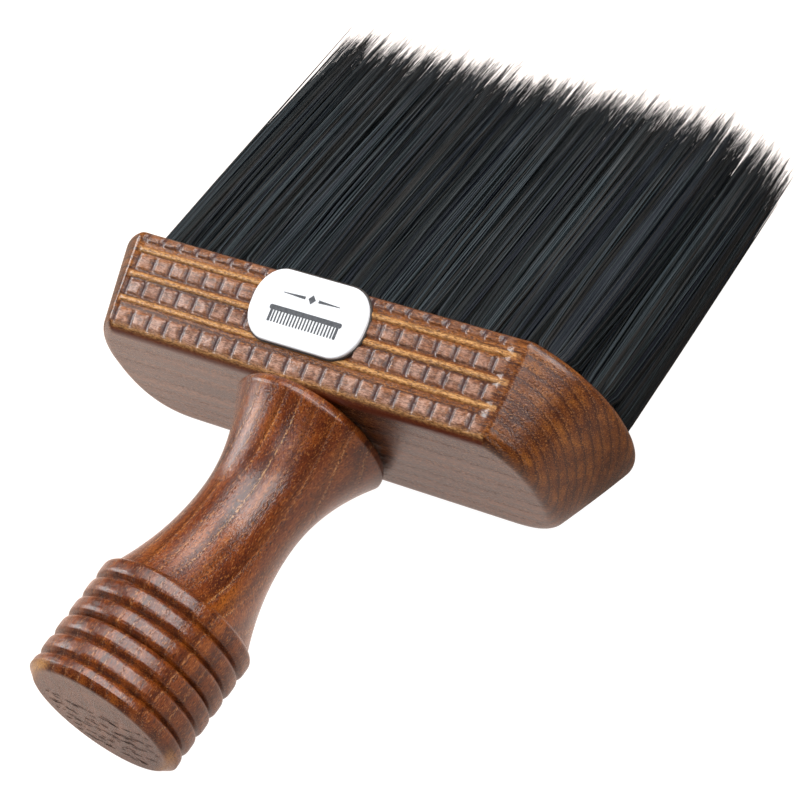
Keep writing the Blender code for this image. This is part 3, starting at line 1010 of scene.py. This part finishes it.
def filament_mesh(name, rng, points, radii, tones, finishes):
    """Three-sided tapering tubes along the centrelines, closed at both ends, in one mesh.

    Each takes its tone's shaft finish, and the tip finish on its last one or two steps.
    """
    count, steps, _ = points.shape
    spin = rng.uniform(0, 2 * math.pi, count)[:, None] + np.arange(3)[None, :] * 2 * math.pi / 3
    rim = np.stack([np.cos(spin), np.zeros_like(spin), np.sin(spin)], axis=2)
    rings = points[:, :, None, :] + radii[:, :, None, None] * rim[:, None, :, :]
    first = (np.arange(count) * steps * 3)[:, None, None]
    ring = (np.arange(steps - 1) * 3)[None, :, None]
    side = np.arange(3)[None, None, :]
    after = (side + 1) % 3
    low = first + ring
    high = low + 3
    quads = np.stack([low + side, high + side, high + after, low + after], axis=3).reshape(-1, 4)
    starts = np.arange(count) * steps * 3
    foot_caps = np.stack([starts, starts + 1, starts + 2], axis=1)
    tip_caps = foot_caps[:, ::-1] + (steps - 1) * 3
    shafts = tones * 2
    tip_steps = rng.integers(1, 3, count)
    in_tip = np.arange(steps - 1)[None, :] >= steps - 1 - tip_steps[:, None]
    quad_slots = np.repeat((shafts[:, None] + in_tip).reshape(-1), 3)

    mesh = bpy.data.meshes.new(name)
    mesh.vertices.add(count * steps * 3)
    mesh.vertices.foreach_set("co", rings.reshape(-1).astype(np.float32))
    corners = np.concatenate([quads.reshape(-1), foot_caps.reshape(-1), tip_caps.reshape(-1)])
    sizes = np.concatenate([np.full(len(quads), 4), np.full(2 * count, 3)])
    mesh.loops.add(len(corners))
    mesh.loops.foreach_set("vertex_index", corners.astype(np.int32))
    mesh.polygons.add(len(sizes))
    mesh.polygons.foreach_set("loop_start", (np.cumsum(sizes) - sizes).astype(np.int32))
    for finish in finishes:
        mesh.materials.append(finish)
    slots = np.concatenate([quad_slots, shafts, shafts + 1])
    mesh.polygons.foreach_set("material_index", slots.astype(np.int32))
    mesh.update(calc_edges=True)
    mesh.validate()
    mesh.shade_smooth()
    return mesh


def make_bristles():
    rng = np.random.default_rng(SEED)
    finishes = bristle_materials()
    block_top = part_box("head_block")[1].y
    tip_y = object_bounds()[1].y
    for place, root, tip in tuft_places(block_top, tip_y):
        points, radii, tones = tuft_lines(rng, root, tip)
        mesh = filament_mesh(f"bristles_{place}", rng, points, radii, tones, finishes)
        tuft = bpy.data.objects.new(f"bristles_{place}", mesh)
        bpy.context.scene.collection.objects.link(tuft)
        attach(tuft, "root")
        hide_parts(f"bristle_tuft_{place}")


# Studio -------------------------------------------------------------------------------------------------


def make_camera(middle):
    azimuth = math.radians(CAMERA_AZIMUTH)
    elevation = math.radians(CAMERA_ELEVATION)
    back = Vector((
        math.sin(azimuth) * math.cos(elevation),
        -math.cos(azimuth) * math.cos(elevation),
        math.sin(elevation),
    ))
    data = bpy.data.cameras.new("camera")
    data.lens = CAMERA_LENS
    data.sensor_width = 36.0
    camera = bpy.data.objects.new("camera", data)
    bpy.context.scene.collection.objects.link(camera)
    level = (-back).to_track_quat("-Z", "Y").to_matrix().to_4x4()
    roll = Matrix.Rotation(math.radians(CAMERA_ROLL), 4, "Z")
    camera.matrix_world = Matrix.Translation(middle + AIM_FROM_MIDDLE + back * CAMERA_DISTANCE) @ level @ roll
    bpy.context.scene.camera = camera


def make_floor(height):
    """The sheet that the brush lies on, wide enough to fill every view.

    It glows evenly white for the camera, and in reflections warmer, brighter before the block than behind it.
    """
    recipe = Recipe("studio_floor")
    place = recipe.place()
    tone = recipe.noise(recipe.scaled(place, (0.004, 0.004, 0.004)), detail=2.0)
    colour = recipe.ramp(tone, ((0.3, (0.20, 0.140, 0.105)), (0.7, (0.23, 0.160, 0.125))))
    path = recipe.add("ShaderNodeLightPath", {}).outputs
    along = recipe.part(place, "Y")
    under_neck = recipe.span(along, 20.0, 44.0, 0.50, 0.92)
    behind_block = recipe.span(along, 62.0, 84.0, 1.0, 0.10)
    reflected = recipe.product(path["Is Glossy Ray"], recipe.product(under_neck, behind_block))
    seen = recipe.sum(path["Is Camera Ray"], reflected)
    finish = recipe.finish(
        Base_Color=colour,
        Roughness=0.9,
        Specular_IOR_Level=0.0,
        Emission_Color=recipe.mix(path["Is Glossy Ray"], (1.0, 1.0, 1.0), (1.0, 0.80, 0.72)),
        Emission_Strength=seen,
    )
    mesh = bpy.data.meshes.new("studio_floor")
    corners = [(x * FLOOR_REACH, y * FLOOR_REACH, height) for x, y in ((-1, -1), (1, -1), (1, 1), (-1, 1))]
    mesh.from_pydata(corners, [], [(0, 1, 2, 3)])
    mesh.materials.append(finish)
    floor = bpy.data.objects.new("studio_floor", mesh)
    bpy.context.scene.collection.objects.link(floor)
    floor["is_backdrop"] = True


def make_softbox(middle, name, direction, distance, size, power):
    data = bpy.data.lights.new(name, "AREA")
    data.shape = "RECTANGLE"
    data.size, data.size_y = size
    data.energy = power
    light = bpy.data.objects.new(name, data)
    bpy.context.scene.collection.objects.link(light)
    towards = Vector(direction).normalized()
    light.location = middle + towards * distance
    light.rotation_mode = "QUATERNION"
    light.rotation_quaternion = towards.to_track_quat("Z", "Y")


def make_air():
    """Even white fill that shows dimmer in reflections, as dark studio walls do."""
    world = bpy.data.worlds.new("studio_air")
    world.use_nodes = True
    tree = world.node_tree
    path = tree.nodes.new("ShaderNodeLightPath")
    strength = tree.nodes.new("ShaderNodeMapRange")
    strength.inputs["To Min"].default_value = AIR_STRENGTH
    strength.inputs["To Max"].default_value = AIR_IN_REFLECTIONS
    tree.links.new(path.outputs["Is Glossy Ray"], strength.inputs["Value"])
    tree.links.new(strength.outputs["Result"], tree.nodes["Background"].inputs["Strength"])
    tree.nodes["Background"].inputs["Color"].default_value = (1.0, 1.0, 1.0, 1.0)
    bpy.context.scene.world = world


def make_studio(middle, floor_height):
    bpy.context.scene.view_settings.view_transform = "Standard"
    make_air()
    make_floor(floor_height)
    for softbox in SOFTBOXES:
        make_softbox(middle, *softbox)


def main():
    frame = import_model()
    cad_low, cad_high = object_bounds()
    middle = (cad_low + cad_high) / 2
    make_camera(middle)
    make_studio(middle, cad_low.z)
    make_handle()
    make_end_pores(np.random.default_rng(SEED))
    make_head_block()
    badge_matrix = badge_frame()
    # The dark ring round the badge is a painted shadow.
    make_badge_shadow_ring(badge_matrix)
    make_badge(badge_matrix)
    ink = badge_ink()
    make_badge_comb(badge_matrix, ink)
    make_badge_divider(badge_matrix, ink)
    frame["nodes"]["handle_dowel"].data.materials.clear()
    frame["nodes"]["handle_dowel"].data.materials.append(bare_wood())
    make_bristles()


main()
